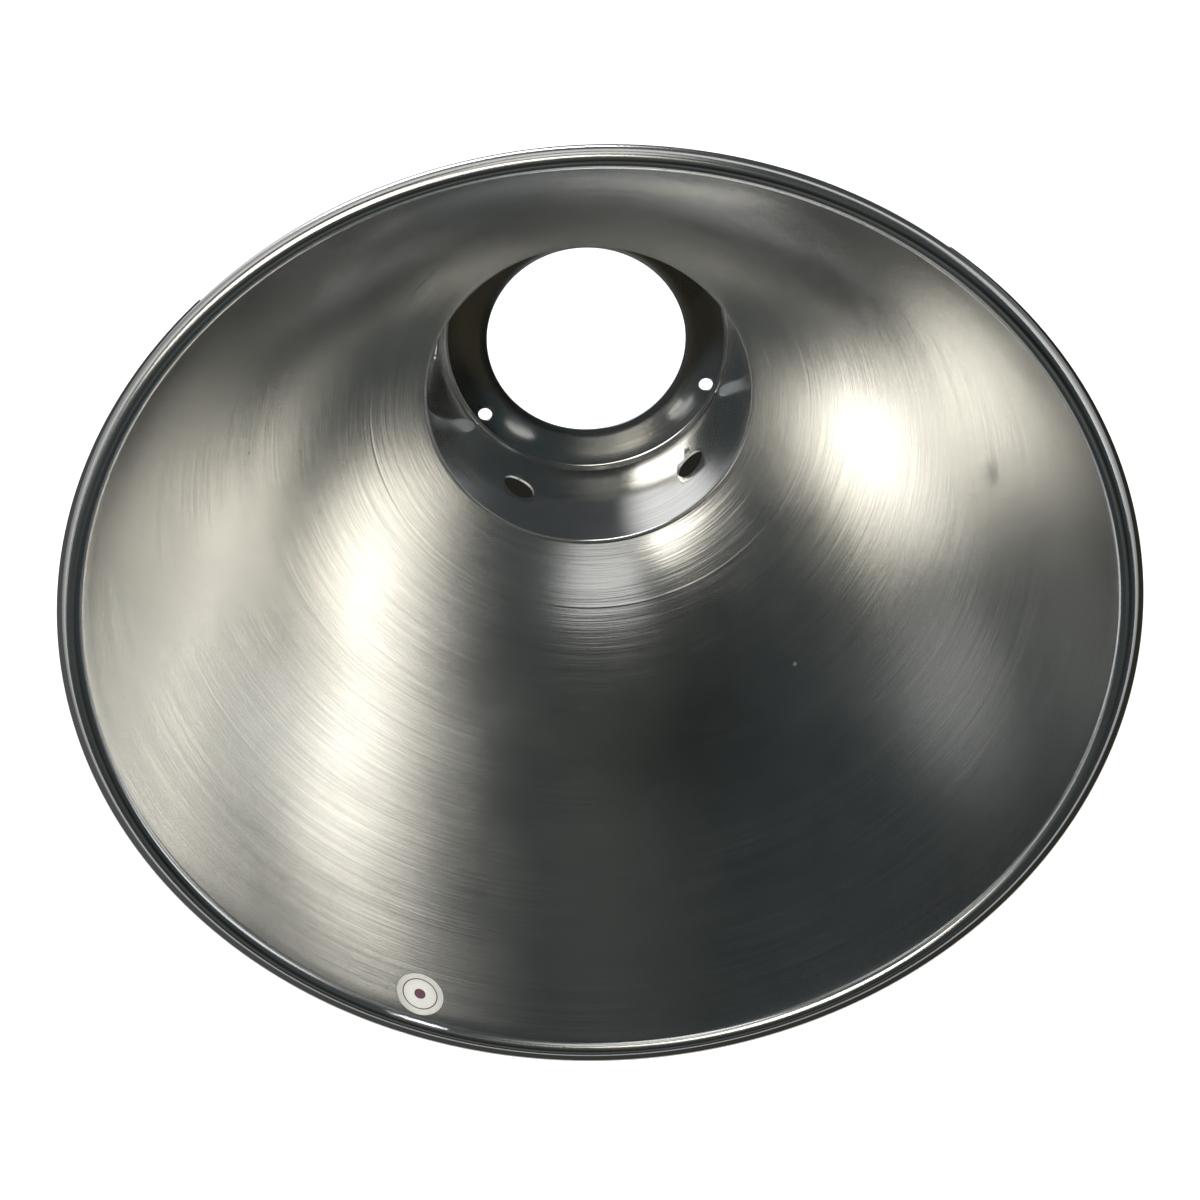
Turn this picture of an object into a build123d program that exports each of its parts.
from build123d import *
from math import sin, cos, radians, degrees
import os

# Spun aluminium dome lampshade, open side down, sizes in millimetres.
# Z runs up the axis of the shade. Z = 0 is the underside of the rolled rim.

# Sheet and rolled rim
sheet = 1.2              # wall thickness, the same all over
rim_diameter = 400.0     # outside of the rolled rim
curl_radius = 4.0        # outside radius of the roll
curl_turn = 300.0        # how far the edge is rolled round, degrees
rim_lean = 8.0           # lean of the wall just above the roll

# Bowl, measured on the lamp side
mid_lean = 28.0          # lean where the skirt arc meets the shoulder arc
top_lean = 54.0          # lean where the bowl reaches the collar
bowl_top_radius = 77.0   # radius of the bowl at its upper end
bowl_top_height = 223.6  # height of the bowl at its upper end

# Collar and top plate, measured on the lamp side
lip_radius = 3.5         # rounded edge between bowl and collar
collar_taper = 4.7       # lean of the collar wall
plate_height = 290.8     # underside of the top plate
corner_radius = 3.0      # rounding between collar and plate

# Holes
centre_hole_radius = 49.0
screw_circle = 129.0     # circle diameter of the screw holes
screw_hole_radius = 3.5
screw_count = 3
screw_start = 30.0       # direction of the first screw hole
vent_radius = 8.2
vent_count = 5
vent_start = 54.0        # direction of the first vent
vent_place = 0.54        # share of the way up the collar
drill_length = 10.0      # passes through the sheet and nothing else

# Round sticker on the inside of the skirt
sticker_diameter = 21.0
sticker_thickness = 0.2
sticker_rise = 11.0      # centre of the sticker, measured up the wall from the roll
sticker_direction = 121.8
skin_sweep = 8.0         # the skin that it is cut from goes this far round, degrees


# A leaning wall, going up, heads this way in the section plane.
def heading(lean):
    return Vector(-sin(radians(lean)), cos(radians(lean)))


# The roll is a circle. The skirt leaves it at a tangent.
foot_normal = Vector(cos(radians(rim_lean)), sin(radians(rim_lean)))
skirt_foot = Vector(rim_diameter / 2 - curl_radius, curl_radius) - foot_normal * curl_radius

# Two tangent arcs make the bowl. Their radii follow from how far in and
# how far up they have to go, which is a pair of linear equations.
c0, c1, c2 = (cos(radians(a)) for a in (rim_lean, mid_lean, top_lean))
s0, s1, s2 = (sin(radians(a)) for a in (rim_lean, mid_lean, top_lean))
run = skirt_foot.X - bowl_top_radius
rise = bowl_top_height - skirt_foot.Y
det = (c0 - c1) * (s2 - s1) - (c1 - c2) * (s1 - s0)
skirt_radius = (run * (s2 - s1) - rise * (c1 - c2)) / det
shoulder_radius = (rise * (c0 - c1) - run * (s1 - s0)) / det
print(f"skirt radius {skirt_radius:.1f}, shoulder radius {shoulder_radius:.1f}")

# The collar's straight part ends where the corner rounding starts.
collar_foot_z = bowl_top_height + lip_radius * (
    sin(radians(top_lean)) - sin(radians(collar_taper))
)
corner_drop = corner_radius * (1 - sin(radians(collar_taper)))
collar_length = (plate_height - corner_drop - collar_foot_z) / cos(radians(collar_taper))


# One face of the sheet, drawn from the end of the roll to the centre hole.
# Out is how far that face lies outside the lamp side.
def sheet_face(out):
    foot = skirt_foot + foot_normal * out
    curl = JernArc(foot, -heading(rim_lean), curl_radius - out, curl_turn)
    skirt = JernArc(foot, heading(rim_lean), skirt_radius + out, mid_lean - rim_lean)
    shoulder = JernArc(skirt @ 1, skirt % 1, shoulder_radius + out, top_lean - mid_lean)
    lip = JernArc(shoulder @ 1, shoulder % 1, lip_radius - out, collar_taper - top_lean)
    collar = Line(lip @ 1, lip @ 1 + (lip % 1) * collar_length)
    corner = JernArc(collar @ 1, collar % 1, corner_radius + out, 90 - collar_taper)
    plate = Line(corner @ 1, (centre_hole_radius, (corner @ 1).Y))
    return curl @ 1, collar @ vent_place, plate @ 1


# Shade: one spun piece, a section turned once round the axis
with BuildPart() as shade:
    with BuildSketch(Plane.XZ):
        with BuildLine():
            inner = sheet_face(0)
            outer = sheet_face(sheet)
            Line(inner[0], outer[0])
            Line(inner[2], outer[2])
        make_face()
    revolve(axis=Axis.Z)

    # Screw holes through the top plate
    with Locations((0, 0, plate_height)):
        with PolarLocations(screw_circle / 2, screw_count, screw_start):
            Cylinder(screw_hole_radius, drill_length, mode=Mode.SUBTRACT)

    # Vents through the collar, square to its tapered wall
    vent_seat = Location((inner[1].X, 0, inner[1].Y), (0, 90 - collar_taper, 0))
    for i in range(vent_count):
        with Locations(Location((0, 0, 0), (0, 0, vent_start + i * 360 / vent_count))):
            with Locations(vent_seat):
                Cylinder(vent_radius, drill_length, mode=Mode.SUBTRACT)

# Sticker: a round disc cut from a thin skin on the lamp side of the skirt.
# The skin bends round with the wall, and is straight up the little way it goes.
skin_turn = degrees(2 * sticker_rise / skirt_radius)
skin_lean = rim_lean + skin_turn / 2
skin_top = JernArc(skirt_foot, heading(rim_lean), skirt_radius, skin_turn) @ 1
skin_normal = Vector(cos(radians(skin_lean)), sin(radians(skin_lean)))
edge = radians(sticker_direction - skin_sweep / 2)
across = Plane((0, 0, 0), x_dir=(cos(edge), sin(edge), 0), z_dir=(sin(edge), -cos(edge), 0))
with BuildPart() as sticker:
    with BuildSketch(across):
        with BuildLine():
            glue = Line(skirt_foot, skin_top)
            face = Line(glue @ 0 - skin_normal * sticker_thickness, glue @ 1 - skin_normal * sticker_thickness)
            Line(glue @ 0, face @ 0)
            Line(glue @ 1, face @ 1)
        make_face()
    revolve(axis=Axis.Z, revolution_arc=skin_sweep)
    middle = (skirt_foot + skin_top) / 2
    with Locations(Location((0, 0, 0), (0, 0, sticker_direction))):
        with Locations(Location((middle.X, 0, middle.Y), (0, 90 - skin_lean, 0))):
            Cylinder(sticker_diameter / 2, drill_length, mode=Mode.INTERSECT)

os.makedirs("parts", exist_ok=True)
shade.part.label = "shade"
export_step(shade.part, "parts/shade.step")
sticker.part.label = "sticker"
export_step(sticker.part, "parts/sticker.step")
